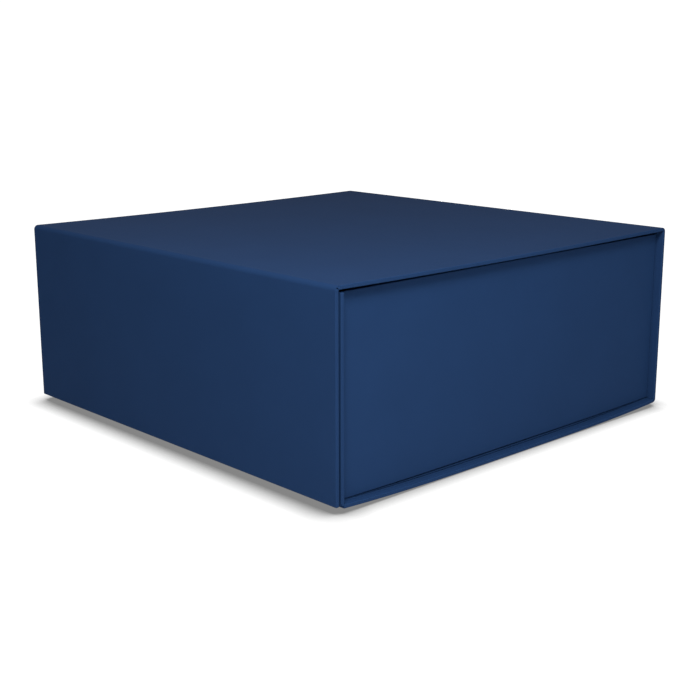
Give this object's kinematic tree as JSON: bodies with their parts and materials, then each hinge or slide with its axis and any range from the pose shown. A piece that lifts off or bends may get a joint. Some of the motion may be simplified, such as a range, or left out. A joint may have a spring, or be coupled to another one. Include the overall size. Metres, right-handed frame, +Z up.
{
  "type": "magnetic closure gift box",
  "caption": "Low, wide rigid gift box wrapped in navy paper, with a hinged lid, a magnetic front flap that covers the whole front, and recessed end walls.",
  "frame": {"origin": "on the table under the middle of the closed box", "axes": "+X runs across the box from the left end wall to the right one; -Y faces out of the front flap; +Z is up"},
  "size_m": [0.313, 0.309, 0.1275],
  "materials": {
    "wrap_paper": "satin",
    "lining_paper": "matte",
    "greyboard": "matte",
    "tab_board": "matte",
    "tape": "satin",
    "magnet": "gloss",
    "keeper_steel": "satin"
  },
  "bodies": {
    "tray": {"base_board": "greyboard", "base_front_fold_liner": "lining_paper", "base_front_fold_wrap": "wrap_paper", "base_liner": "lining_paper", "base_rear_fold_liner": "lining_paper", "base_rear_fold_wrap": "wrap_paper", "base_wrap": "wrap_paper", "corner_tab_left_front": "tab_board", "corner_tab_left_rear": "tab_board", "corner_tab_right_front": "tab_board", "corner_tab_right_rear": "tab_board", "front_wall_board": "greyboard", "front_wall_keepers": "keeper_steel", "front_wall_liner": "lining_paper", "front_wall_wrap": "wrap_paper", "left_end_board": "greyboard", "left_end_liner": "lining_paper", "left_end_wrap": "wrap_paper", "left_foot_hinge": "lining_paper", "lid_fold_liner": "lining_paper", "lid_fold_wrap": "wrap_paper", "right_end_board": "greyboard", "right_end_liner": "lining_paper", "right_end_wrap": "wrap_paper", "right_foot_hinge": "lining_paper", "spine_board": "greyboard", "spine_liner": "lining_paper", "spine_wrap": "wrap_paper", "tab_tape_left_front": "tape", "tab_tape_left_rear": "tape", "tab_tape_right_front": "tape", "tab_tape_right_rear": "tape"},
    "lid": {"lid_board": "greyboard", "lid_wrap": "wrap_paper", "lid_liner": "lining_paper", "flap_fold_wrap": "wrap_paper", "flap_fold_liner": "lining_paper"},
    "flap": {"flap_board": "greyboard", "flap_wrap": "wrap_paper", "flap_liner": "lining_paper", "flap_magnets": "magnet"}
  },
  "joints": [
    {"name": "lid_hinge", "type": "hinge", "parent": "tray", "child": "lid", "pos_m": [0, 0.1538, 0.1268], "axis": [-1, 0, 0], "range_deg": [0, 178], "deforming": ["lid_fold_wrap", "lid_fold_liner"]},
    {"name": "flap_hinge", "type": "hinge", "parent": "lid", "child": "flap", "pos_m": [0, -0.1538, 0.1268], "axis": [-1, 0, 0], "range_deg": [0, 90], "deforming": ["flap_fold_wrap", "flap_fold_liner"]}
  ]
}
